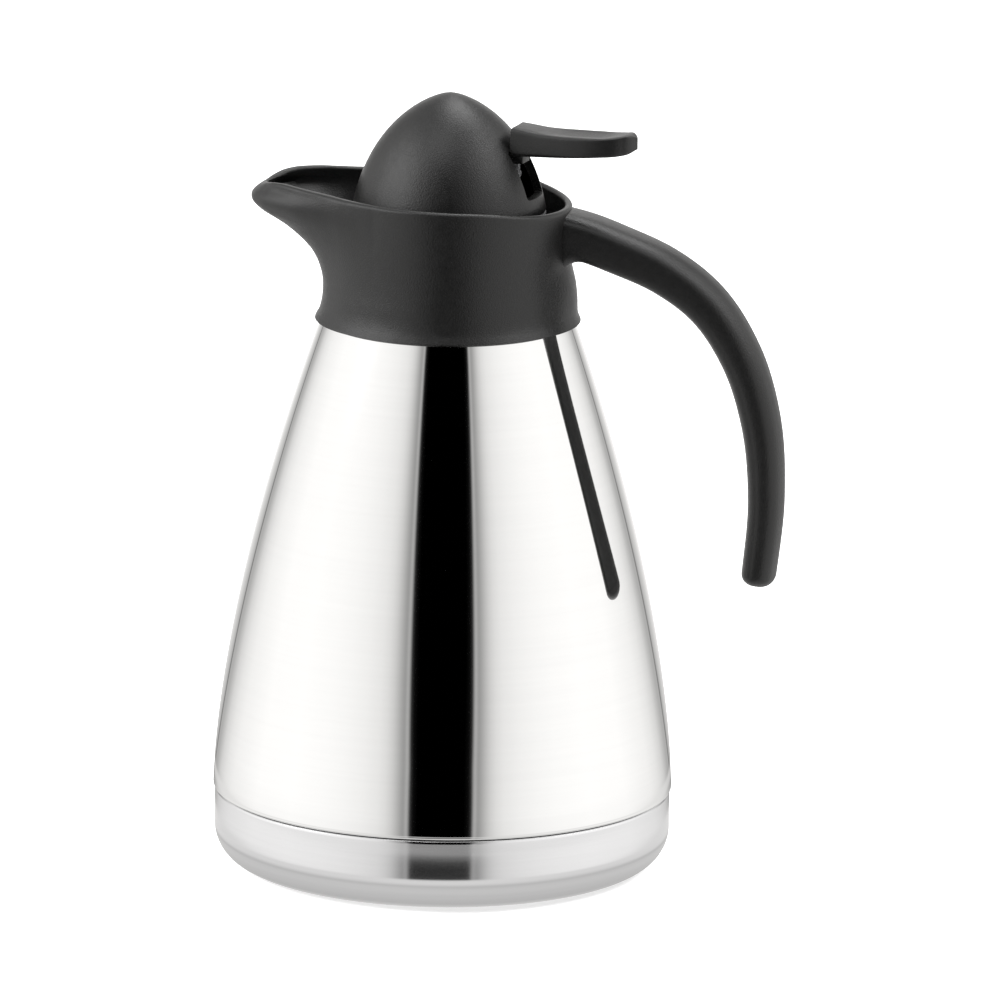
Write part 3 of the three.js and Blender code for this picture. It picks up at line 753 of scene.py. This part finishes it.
@dataclass
class Vessel:
    """The double-walled steel flask and the cup that covers its underside."""

    seam_z: float = 22.7
    body_r: float = 68.2
    taper: float = 30.3
    taper_rise: float = 140.0
    taper_power: float = 1.6
    top_z: float = 175.0
    wall: float = 0.8
    neck_r: float = 30.4
    mouth_z: float = 177.0
    cup_r: float = 67.7
    cup_corner: float = 10.8
    cup_wall: float = 1.0
    cup_edge: float = 0.7
    seam_gap: float = 0.3
    roll: float = 0.7
    skirt_r: float = 66.2
    skirt_z: float = 14.0

    def radius(self, z: float) -> float:
        """Outer radius of the shell at a height.

        Args:
            z: The height above the table.

        Returns:
            The radius.
        """
        rise = max(0.0, (z - self.seam_z) / self.taper_rise)
        return self.body_r - self.taper * rise**self.taper_power

    def build_shell(self, dresser: Dresser) -> None:
        """The outer shell: a rolled lower edge, the long taper and the shoulder."""
        rolled = arc(self.body_r - self.roll, self.seam_z + self.roll, self.roll, -90, 0, 6)
        wall = [(self.radius(z), z) for z in np.linspace(self.seam_z + 1.4, self.top_z, 60)]
        shoulder = [(self.neck_r + 1.6, self.mouth_z), (self.neck_r + 0.3, self.mouth_z)]
        inside = [(r - self.wall, z - 0.5) for r, z in reversed(wall[::4])]
        inner_r = self.skirt_r - self.wall
        skirt = [
            (inner_r, self.seam_z + 0.9),
            (inner_r, self.skirt_z),
            (self.skirt_r, self.skirt_z),
            (self.skirt_r, self.seam_z),
        ]
        profile = [*rolled, *wall, *shoulder, (self.neck_r + 0.3, 176.2), *inside, *skirt]
        shell = turn("shell_wall", profile, steps=192)
        dresser.dress(shell, MIRROR, Body.JUG, "outer_shell")

    def build_cup(self, dresser: Dresser) -> None:
        """The base cup: a flat underside, a round corner and a short upright wall."""
        top = self.seam_z - self.seam_gap
        cx, r, edge = self.cup_r - self.cup_corner, self.cup_corner, self.cup_edge
        wall = [(self.cup_r, z) for z in np.linspace(r + 0.4, top - edge - 0.3, 6)]
        lip = arc(self.cup_r - edge, top - edge, edge, 0, 90, 6)
        inner = arc(cx, r, r - self.cup_wall, 0, -90, 8)
        profile = [
            (0.0, 0.0),
            *arc(cx, r, r, -90, 0, 18),
            *wall,
            *lip,
            (self.cup_r - self.cup_wall, top - 0.2),
            *inner,
            (0.0, self.cup_wall),
        ]
        cup = turn("foot_cup", profile, steps=192, closed=False)
        dresser.dress(cup, BUFFED, Body.JUG, "base_cup")

    def build(self, dresser: Dresser) -> None:
        """Builds the vessel's visible pieces and finishes the hidden ones.

        Args:
            dresser: Gives the pieces their finishes and bodies.
        """
        self.build_shell(dresser)
        self.build_cup(dresser)
        dresser.keep("inner_flask", DRAWN)
        dresser.keep("shell_dish", DRAWN)
        dresser.keep("radiation_foil", COPPER)
        dresser.keep("getter_pad", GETTER)
        dresser.keep("evacuation_seal", GLASS)


# ---- The collar, its lip and the handle ----------------------------------------------------


@dataclass
class Collar:
    """The moulded collar round the neck, drawn out into a pouring lip."""

    outer_r: float = 36.3
    wall: float = 2.3
    foot_z: float = 164.2
    floor_z: float = 179.0
    floor_top: float = 181.0
    throat_r: float = 29.3
    rim_z: float = 205.0
    rim_foot_z: float = 184.0
    crowding: float = 0.55
    inside_share: float = 1.07
    lip_wall: float = 2.2
    swell: float = 1.1
    neck_gap_r: float = 32.8
    skirt: Sequence[Pair] = (
        (164.2, 39.44), (165.7, 38.5), (169.3, 37.35), (172.9, 36.95), (177.0, 36.5), (181.0, 36.3)
    )
    lip_by_angle: Sequence[Pair] = (
        (0.0, 1.0), (3.0, 0.98), (6.0, 0.95), (9.0, 0.903), (12.0, 0.85), (16.0, 0.745),
        (20.0, 0.64), (25.0, 0.513), (30.0, 0.371), (36.0, 0.229), (42.0, 0.139), (50.0, 0.055),
        (60.0, 0.0),
    )
    lip_by_height: Sequence[Pair] = (
        (172.5, 0.0), (175.0, 0.3), (177.5, 0.9), (180.0, 1.8), (182.9, 3.2), (185.3, 4.9),
        (187.6, 7.2), (190.0, 10.1), (192.4, 13.5), (194.0, 16.3), (195.7, 19.4), (197.2, 21.4),
        (198.6, 22.5),
        (200.5, 22.3), (203.5, 19.2),
    )
    rim_by_angle: Sequence[Pair] = (
        (0.0, 203.3), (6.0, 204.2), (12.0, 205.1), (16.0, 205.4), (20.0, 205.3), (25.0, 205.0),
        (30.0, 204.6), (42.0, 203.8), (50.0, 203.5), (60.0, 203.3), (90.0, 203.0), (120.0, 202.0),
        (135.0, 200.8), (150.0, 200.0), (165.0, 199.6), (180.0, 199.4),
    )

    def place(self, p: np.ndarray) -> np.ndarray:
        """Pulls the round collar into its lip, its sloping rim and the swell behind.

        Args:
            p: Points of the turned collar.

        Returns:
            The points in place.
        """
        reach_at = smooth_curve(self.lip_by_height)
        share_at = smooth_curve(self.lip_by_angle)
        rim_at = smooth_curve(self.rim_by_angle)
        radius = np.hypot(p[:, 0], p[:, 1])
        even = np.arctan2(p[:, 1], -p[:, 0])
        angle = even - self.crowding * np.sin(even)
        degrees = np.degrees(np.abs(angle))
        inside = radius < self.outer_r - self.wall / 2
        share = np.where(inside, share_at(degrees * self.inside_share), share_at(degrees))
        droop = self.rim_z - rim_at(degrees)
        z = p[:, 2] - droop * smooth_step(p[:, 2], self.rim_foot_z, self.rim_z)
        wet = p[:, 2] > self.floor_top - 0.1
        reach = reach_at(z) * share
        wet_reach = np.minimum(reach, reach_at(z - self.lip_wall) * share)
        reach = np.where(inside, np.where(wet, wet_reach, 0.0), reach)
        behind = smooth_step(degrees, 148.0, 172.0)
        swell = smooth_step(p[:, 2], self.foot_z, 171.0)
        swell = swell * (1 - smooth_step(p[:, 2], 175.0, 183.0))
        out = radius + reach + np.where(inside, 0.0, self.swell * behind * swell)
        return np.column_stack((-out * np.cos(angle), out * np.sin(angle), z))

    def build(self, dresser: Dresser) -> None:
        """Builds the collar as one turned loop, then pulls it into shape.

        Args:
            dresser: Gives the piece its finish and body.
        """
        skirt_at = smooth_curve(self.skirt)
        half = self.wall / 2
        inner_r = self.outer_r - self.wall
        shell = Vessel()
        heights = np.concatenate(
            (np.linspace(self.foot_z + 0.6, 181.0, 14), np.linspace(182.0, self.rim_z - half, 26))
        )
        outside = [(float(skirt_at(z)), float(z)) for z in heights]
        rim = arc(self.outer_r - half, self.rim_z - half, half, 15, 165, 9)
        wet = [(inner_r, z) for z in np.linspace(self.rim_z - half, self.floor_top + 1.6, 20)]
        gap = [(shell.radius(z) + 0.45, z) for z in np.linspace(173.5, self.foot_z + 0.3, 6)]
        profile = [
            (38.7, self.foot_z),
            (39.25, self.foot_z + 0.12),
            *outside,
            *rim,
            *wet,
            (inner_r - 0.6, self.floor_top + 0.4),
            (inner_r - 1.6, self.floor_top),
            (self.throat_r, self.floor_top),
            (self.throat_r, self.floor_z),
            (self.neck_gap_r, self.floor_z),
            *gap,
        ]
        collar = turn("pouring_collar", profile, steps=288)
        reshape(collar, self.place)
        smoothed(collar, 40)
        dresser.dress(collar, CHARCOAL, Body.JUG, "collar")


@dataclass
class Grip:
    """The handle: a bar that leaves the collar, turns over and hangs free."""

    line: Sequence[Pair] = (
        (33.5, 191.7), (40.4, 190.1), (51.0, 186.4), (63.9, 180.9), (76.8, 171.5),
        (87.2, 156.2), (93.3, 137.3), (95.4, 114.0), (93.3, 87.3),
    )
    width: Sequence[Pair] = ((0.0, 20.0), (0.3, 19.6), (0.8, 18.2), (1.0, 18.0))
    depth: Sequence[Pair] = (
        (0.0, 12.6), (0.2, 12.4), (0.35, 12.2), (0.49, 12.1), (0.63, 11.6), (0.8, 10.7),
        (1.0, 10.1),
    )
    squareness: Sequence[Pair] = ((0.0, 0.5), (0.15, 0.55), (0.45, 0.74), (1.0, 0.76))
    cap_from: float = 0.84
    round_from: float = 0.972
    fillet: float = 6.5
    inset_r: float = 35.0
    collar_r: float = 36.6
    crown: float = 0.7

    def place(self, step: np.ndarray, turn_angle: np.ndarray) -> np.ndarray:
        """Lays the bar's points along its line.

        Args:
            step: Share of the stations.
            turn_angle: Angle round the bar, nought on its outer face.

        Returns:
            The points in place.
        """
        points = np.array(self.line)
        run = np.concatenate(([0.0], np.cumsum(np.hypot(*np.diff(points, axis=0).T))))
        run = run / run[-1]
        late = np.clip((step - self.cap_from) / (1 - self.cap_from), 0, 1) * math.pi / 2
        share = np.clip(step / self.cap_from, 0, 1) * self.round_from
        share = share + np.sin(late) * (1 - self.round_from)
        x_at = smooth_curve(list(zip(run, points[:, 0])))
        z_at = smooth_curve(list(zip(run, points[:, 1])))
        x, z = x_at(share), z_at(share)
        tiny = 1e-3
        dx = x_at(share + tiny) - x_at(share - tiny)
        dz = z_at(share + tiny) - z_at(share - tiny)
        length = np.hypot(dx, dz)
        out_x, out_z = -dz / length, dx / length
        end = np.maximum(0.02, np.cos(late))
        power = smooth_curve(self.squareness)(share)
        side = oval(np.sin(turn_angle), power) * smooth_curve(self.width)(share) / 2 * end
        lift = oval(np.cos(turn_angle), power) * smooth_curve(self.depth)(share) / 2 * end
        near_root = 1 - smooth_step(share, 0.25, 0.5)
        crown = self.crown * near_root * np.maximum(0, np.cos(turn_angle)) ** 6
        lift = lift + crown
        from_collar = np.clip((x - self.collar_r) / self.fillet, 0, 1)
        drop = self.fillet * (1 - np.sqrt(1 - (1 - from_collar) ** 2))
        lift = lift - drop * np.maximum(0, -np.cos(turn_angle))
        reach = np.maximum(x + out_x * lift, np.sqrt(self.inset_r**2 - side**2))
        return np.column_stack((reach, side, z + out_z * lift))

    def build(self, dresser: Dresser) -> None:
        """Builds the grip.

        Args:
            dresser: Gives the piece its finish and body.
        """
        grip = loft("grip", 48, 120, self.place)
        smoothed(grip, 60)
        dresser.dress(grip, CHARCOAL, Body.JUG, "handle")


# ---- The stopper ---------------------------------------------------------------------------


@dataclass
class Dome:
    """The cap over the stopper, with the slot that the lever comes out of."""

    foot_r: float = 28.5
    foot_z: float = 197.3
    top_z: float = 232.0
    wall: float = 2.2
    slot_half: float = 7.35
    slot_low: float = 202.6
    slot_high: float = 216.8

    def build(self, dresser: Dresser) -> None:
        """Builds the dome and cuts its slot.

        Args:
            dresser: Gives the piece its finish and body.
        """
        foot, peak = (self.foot_r, 198.0), (0, self.top_z)
        crown = bezier((foot, (23.6, 224.6), (4.6, self.top_z), peak), 40)
        top = self.top_z - self.wall
        inner = bezier(((0, top), (4.0, top), (21.2, 222.5), (self.foot_r - 2.2, self.foot_z)), 24)
        edge = [(self.foot_r - 0.3, self.foot_z), (self.foot_r, self.foot_z + 0.3)]
        dome = turn("dome_cap", [*inner, *edge, *crown], steps=160, closed=False)
        slot = box(
            "slot_tool",
            (10.5, -self.slot_half, self.slot_low),
            (40.0, self.slot_half, self.slot_high),
            1.2,
        )
        combine(dome, slot, "DIFFERENCE")
        apply_modifier(
            dome,
            "BEVEL",
            width=0.3 * MM,
            segments=2,
            limit_method="ANGLE",
            angle_limit=math.radians(50),
        )
        turned(smoothed(dome, 36), STOPPER_TURN)
        dresser.dress(dome, CHARCOAL, Body.STOPPER, "dome")


@dataclass
class ThumbLever:
    """The lever: a thumb pad outside the dome and a forked arm inside it."""

    root_x: float = 21.4
    tip_x: float = 57.5
    pivot_x: float = 16.0
    pivot_z: float = 212.6
    squareness: float = 0.26
    dish: float = 0.9
    hug: float = 0.035
    arm_half: float = 4.4
    neck_half: float = 3.4
    fork_half: float = 2.7
    pin_hole_r: float = 1.75
    top: Sequence[Pair] = (
        (21.4, 223.9), (24.8, 223.5), (28.9, 222.9), (34.0, 222.6), (39.0, 222.55),
        (43.9, 222.6), (48.6, 222.8), (53.1, 223.2), (56.0, 223.3), (57.5, 222.5),
    )
    under: Sequence[Pair] = (
        (21.4, 215.0), (26.6, 215.3), (34.1, 215.7), (40.7, 216.1), (47.1, 216.6),
        (53.2, 217.2), (55.6, 217.8), (57.5, 219.0),
    )
    half: Sequence[Pair] = (
        (21.4, 5.9), (26.6, 6.35), (34.0, 7.1), (40.0, 7.35), (47.0, 6.85), (51.0, 5.95),
        (54.0, 4.6), (56.3, 2.8), (57.5, 0.4),
    )

    def place(self, step: np.ndarray, turn_angle: np.ndarray) -> np.ndarray:
        """Lays the pad's points from the root to the tip.

        Args:
            step: Share of the stations.
            turn_angle: Angle round the pad, nought on its near side.

        Returns:
            The points in place.
        """
        share = np.sin(step * math.pi / 2) ** 1.1
        x = self.root_x + (self.tip_x - self.root_x) * share
        wide = oval(np.cos(turn_angle), self.squareness)
        tall = oval(np.sin(turn_angle), self.squareness)
        top, under = smooth_curve(self.top)(x), smooth_curve(self.under)(x)
        y = wide * smooth_curve(self.half)(x)
        z = (top + under) / 2 + tall * (top - under) / 2
        dish = smooth_step(x, 27.0, 38.0) * (1 - smooth_step(x, 46.0, 55.0))
        z = z - self.dish * dish * np.maximum(0, tall) * np.maximum(0, 1 - (y / 6.2) ** 2)
        hug = (1 - smooth_step(step, 0.0, 0.35)) * self.hug * (y**2)
        return np.column_stack((x - hug * (1 - np.clip((z - 215) / 40, 0, 0.4)), y, z))

    def build(self, dresser: Dresser) -> None:
        """Builds the pad, its neck and the arm, and joins them.

        Args:
            dresser: Gives the piece its finish and body.
        """
        pad = loft("thumb_lever", 56, 64, self.place)
        x, z = self.pivot_x, self.pivot_z
        arm_y, neck_y, fork_y = self.arm_half, self.neck_half, self.fork_half
        neck = box("neck", (x - 2, -neck_y, z), (23.6, neck_y, 216.4), 0.5)
        hub = bar_y("hub", 3.2, arm_y, x, z, 0.3)
        arm = box("arm", (-4.6, -arm_y, z - 2), (x, arm_y, z + 0.8), 0.5)
        fork = box("fork", (-6, -fork_y, z - 5), (3.0, fork_y, z + 5), 0.4)
        combine(arm, fork, "DIFFERENCE")
        for tool in (neck, hub, arm):
            combine(pad, tool, "UNION")
        combine(pad, bar_y("pin_hole", self.pin_hole_r, 8.0, x, z), "DIFFERENCE")
        turned(smoothed(pad, 24), STOPPER_TURN)
        dresser.dress(pad, CHARCOAL, Body.LEVER, "lever")


@dataclass
class Spring:
    """The coil spring that closes the valve. The real spring is pressed shorter as the valve
    lifts; this one keeps its length and moves with the valve.
    """

    radius: float = 3.9
    wire_r: float = 0.4
    turns: int = 4
    travel: float = 3.35

    def build(self, dresser: Dresser) -> None:
        """Winds the spring and ties it to the valve, which it moves with.

        Args:
            dresser: Gives the piece its finish and body.
        """
        low, high = corner_box("valve_spring")
        foot, head = low[2] + self.wire_r, high[2] - self.wire_r

        def place(step: np.ndarray, turn_angle: np.ndarray) -> np.ndarray:
            """Lays the wire's points along the coil."""
            along = 2 * math.pi * self.turns * step
            out = self.radius + self.wire_r * np.cos(turn_angle)
            z = foot + (head - foot) * step + self.wire_r * np.sin(turn_angle)
            return np.column_stack((out * np.cos(along), out * np.sin(along), z))

        spring = loft("return_spring", 10, 160, place)
        dresser.dress(spring, TURNED, Body.VALVE, "valve_spring")
        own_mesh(spring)


# ---- The studio ----------------------------------------------------------------------------


# Degrees inside the edge of the dark gap at which the brightness starts to be given
DARK_MARGIN = 4.0

# Brightness of the surroundings by the degrees past the edge of the dark gap
FALL_OFF = (
    (-4.0, 0.0), (-1.5, 0.004), (-0.5, 0.03), (0.0, 0.11), (0.6, 0.29), (1.3, 0.42), (2.2, 0.345),
    (3.2, 0.305), (4.5, 0.365), (7.0, 0.5), (9.0, 0.6), (12.0, 0.705), (16.0, 0.785), (24.0, 0.86),
    (34.0, 0.92), (44.0, 0.96), (62.0, 1.0), (84.0, 0.985), (94.0, 0.93), (104.0, 0.875),
    (112.0, 0.78), (119.0, 0.645), (123.0, 0.515), (127.0, 0.41), (130.0, 0.41), (131.3, 0.12),
    (132.8, 0.41), (134.0, 0.47), (138.0, 0.57), (143.0, 0.68), (148.0, 0.87),
)

# How far the dark gap fades, by the distance in metres from the middle of the jug's foot
BAND_STOPS = (
    (0.0, 1.0), (0.097, 1.0), (0.103, 0.03), (0.132, 0.03), (0.137, 0.4), (0.140, 0.55),
    (0.1505, 0.55), (0.1545, 0.03), (0.158, 0.0),
)

# Painted shade round the jug's foot, laid into the glow of the disc that the steel reflects, by
# the same distance
FOOT_SHADE = (
    (0.0, 0.78), (0.059, 0.8), (0.0615, 0.56), (0.065, 0.63), (0.070, 0.7), (0.0735, 0.73),
    (0.0765, 0.62), (0.0795, 0.62), (0.083, 0.84), (0.11, 0.87), (0.15, 0.9), (0.17, 0.96),
    (0.25, 1.0),
)


@dataclass
class Studio:
    """The floor, the soft surroundings that the steel reflects, the lamps and the camera."""

    azimuth: float = 7.3
    elevation: float = 12.91
    roll: float = 0.749
    distance: float = 3272.0
    lens: float = 397.86
    sideways: float = 16.084
    target_z: float = 109.38
    band_shift: float = -0.4
    band_low: float = 15.6
    band_high: float = 19.4
    band_rise: float = 0.88
    surround_radius: float = 1.6
    surround_height: float = 2.2
    band_apex: float = 0.035
    surround_strength: float = 1.14
    surround_tint: tuple[float, float, float] = (1.0, 0.992, 0.98)
    floor_white: float = 0.93
    floor_glow: float = 0.4
    sky_strength: float = 0.85
    lamps: Sequence[tuple[str, tuple[float, float, float], float, float]] = (
        ("left", (-2.3, 0.5, 1.5), 1.4, 70.0),
        ("right", (2.1, 0.2, 2.1), 1.2, 46.0),
        ("front", (-0.5, 1.0, 2.5), 1.4, 8.0),
        ("top", (0.5, -0.9, 2.6), 1.6, 26.0),
    )

    def aim(self) -> Vector:
        """The horizontal direction from the jug to the camera."""
        a = math.radians(self.azimuth)
        return Vector((math.sin(a), -math.cos(a), 0.0))

    def build_camera(self) -> None:
        """Places the camera at its viewing angle."""
        a, e = math.radians(self.azimuth), math.radians(self.elevation)
        target = Vector(
            (self.sideways * math.cos(a), self.sideways * math.sin(a), self.target_z)
        ) * MM
        back = Vector((math.sin(a) * math.cos(e), -math.cos(a) * math.cos(e), math.sin(e)))
        data = bpy.data.cameras.new("view")
        data.lens = self.lens
        data.sensor_width = 36.0
        data.clip_end = 20.0
        camera = bpy.data.objects.new("view", data)
        bpy.context.collection.objects.link(camera)
        camera.location = target + back * self.distance * MM
        facing = back.to_track_quat("Z", "Y")
        tilt = Quaternion((0, 0, 1), math.radians(self.roll))
        camera.rotation_mode = "QUATERNION"
        camera.rotation_quaternion = facing @ tilt
        bpy.context.scene.camera = camera

    def build_floor(self) -> None:
        """The pale floor."""
        deselect()
        bpy.ops.mesh.primitive_plane_add(size=30.0, location=(0, 0, -0.0002))
        floor = bpy.context.active_object
        floor.name = "floor"
        tree = ShaderTree("pale_floor")
        white = (self.floor_white,) * 3 + (1.0,)
        floor.data.materials.append(
            tree.surface(
                {
                    "Base Color": white,
                    "Roughness": 0.9,
                    "Emission Color": white,
                    "Emission Strength": self.floor_glow,
                }
            )
        )
        floor.visible_glossy = False

    def surround_material(self) -> bpy.types.Material:
        """Soft white all round, with a dark gap towards the camera and its grey edges.

        Returns:
            The new material, which glows by itself.
        """
        tree = ShaderTree("surround")
        point = tree.node("ShaderNodeTexCoord", output="Object")
        x = tree.node("ShaderNodeSeparateXYZ", None, {0: point}, 0)
        y = tree.node("ShaderNodeSeparateXYZ", None, {0: point}, 1)
        z = tree.node("ShaderNodeSeparateXYZ", None, {0: point}, 2)
        from_apex = x - self.band_apex
        angle = abs(tree.node("ShaderNodeMath", {"operation": "ARCTAN2"}, {0: y, 1: from_apex}))
        degrees = angle * (180 / math.pi)
        rise = tree.node("ShaderNodeClamp", None, {0: z / self.band_rise})
        half = self.band_low + rise * (self.band_high - self.band_low)
        past = (degrees - half + DARK_MARGIN) / 180
        band = tree.ramp(past, [((place + DARK_MARGIN) / 180, grey) for place, grey in FALL_OFF])
        far = tree.node("ShaderNodeVectorMath", {"operation": "LENGTH"}, {0: point}, 1)
        open_floor = tree.ramp(far, BAND_STOPS)
        # painted shade round the foot: darkens the reflected disc near the jug
        foot_shade = tree.ramp(far, FOOT_SHADE)
        blend = {"data_type": "RGBA"}
        floor_grey = (0.8, 0.8, 0.8, 1)
        glow = tree.node("ShaderNodeMix", blend, {0: open_floor, 6: band, 7: floor_grey}, 2)
        for filter_by in (foot_shade, (*self.surround_tint, 1.0)):
            multiply = {"data_type": "RGBA", "blend_type": "MULTIPLY"}
            glow = tree.node("ShaderNodeMix", multiply, {0: 1.0, 6: glow, 7: filter_by}, 2)
        inputs = {"Color": glow, "Strength": self.surround_strength}
        tree.node_out(tree.node("ShaderNodeEmission", None, inputs))
        return tree.material

    def only_reflected(self, piece: bpy.types.Object) -> None:
        """Lets only mirror-like reflections see a stage piece."""
        piece.visible_camera = False
        piece.visible_diffuse = False
        piece.visible_shadow = False
        piece.visible_transmission = False
        piece.visible_volume_scatter = False

    def build_surround(self) -> None:
        """A tall ring round the jug and a disc on the floor, seen only in the steel."""
        heading = self.aim()
        bearing = math.atan2(heading.y, heading.x) + math.radians(self.band_shift)
        material = self.surround_material()
        deselect()
        bpy.ops.mesh.primitive_cylinder_add(
            vertices=128,
            radius=self.surround_radius,
            depth=self.surround_height,
            end_fill_type="NOTHING",
            location=(0, 0, 0),
        )
        ring = bpy.context.active_object
        ring.name = "surround_ring"
        bpy.ops.object.mode_set(mode="EDIT")
        bpy.ops.mesh.select_all(action="SELECT")
        bpy.ops.transform.translate(value=(0, 0, self.surround_height / 2 - 0.01))
        bpy.ops.object.mode_set(mode="OBJECT")
        deselect()
        bpy.ops.mesh.primitive_circle_add(
            vertices=128,
            radius=self.surround_radius + 0.1,
            fill_type="NGON",
            location=(0, 0, 0),
        )
        disc = bpy.context.active_object
        disc.name = "surround_disc"
        disc.location.z = -0.0001
        for piece in (ring, disc):
            piece.rotation_euler.z = bearing
            piece.data.materials.append(material)
            self.only_reflected(piece)

    def build_light(self) -> None:
        """An even pale sky and large soft lamps, each to one side of the camera's line."""
        world = bpy.data.worlds.new("soft_room")
        bpy.context.scene.world = world
        world.use_nodes = True
        background = world.node_tree.nodes["Background"]
        background.inputs["Color"].default_value = (1.0, 1.0, 1.0, 1.0)
        background.inputs["Strength"].default_value = self.sky_strength
        a = math.radians(self.azimuth)
        right, aim = Vector((math.cos(a), math.sin(a), 0.0)), self.aim()
        for name, (across, towards, height), size, power in self.lamps:
            place = right * across + aim * towards + Vector((0.0, 0.0, height))
            data = bpy.data.lights.new(name, "AREA")
            data.shape = "DISK"
            data.size = size
            data.energy = power
            lamp = bpy.data.objects.new(name, data)
            bpy.context.collection.objects.link(lamp)
            lamp.location = place
            lamp.rotation_mode = "QUATERNION"
            lamp.rotation_quaternion = (place - Vector((0, 0, 0.15))).to_track_quat("Z", "Y")
        bpy.context.scene.view_settings.view_transform = "Standard"

    def build(self) -> None:
        """Builds the whole studio."""
        self.build_camera()
        self.build_floor()
        self.build_surround()
        self.build_light()


@dataclass
class Inside:
    """The pieces that the dome, the collar and the vessel hide."""

    kept: Sequence[tuple[str, Finish]] = (
        ("neck_seal", SILICONE),
        ("throat_ring", GREY),
        ("stopper_body", GREY),
        ("stopper_gasket", SILICONE),
        ("lever_bracket", GREY),
        ("bracket_screw_near", TURNED),
        ("bracket_screw_far", TURNED),
        ("lever_pin", TURNED),
        ("valve_rod", TURNED),
        ("rod_nut", TURNED),
        ("valve_disc", GREY),
        ("valve_seal", SILICONE),
        ("valve_clip", TURNED),
    )

    def build(self, dresser: Dresser) -> None:
        """Finishes the pieces that keep the frame's own shape."""
        for node, finish in self.kept:
            dresser.keep(node, finish)


def main() -> None:
    """Builds the jug and the studio, and notes the sizes."""
    logging.basicConfig(level=logging.INFO, format="%(name)s: %(message)s")
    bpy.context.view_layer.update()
    Studio().build()
    dresser = Dresser()
    for assembly in (Vessel(), Collar(), Grip(), Dome(), ThumbLever(), Spring(), Inside()):
        LOG.info("building the %s", type(assembly).__name__.lower())
        assembly.build(dresser)
    deselect()


if __name__ == "__main__":
    main()
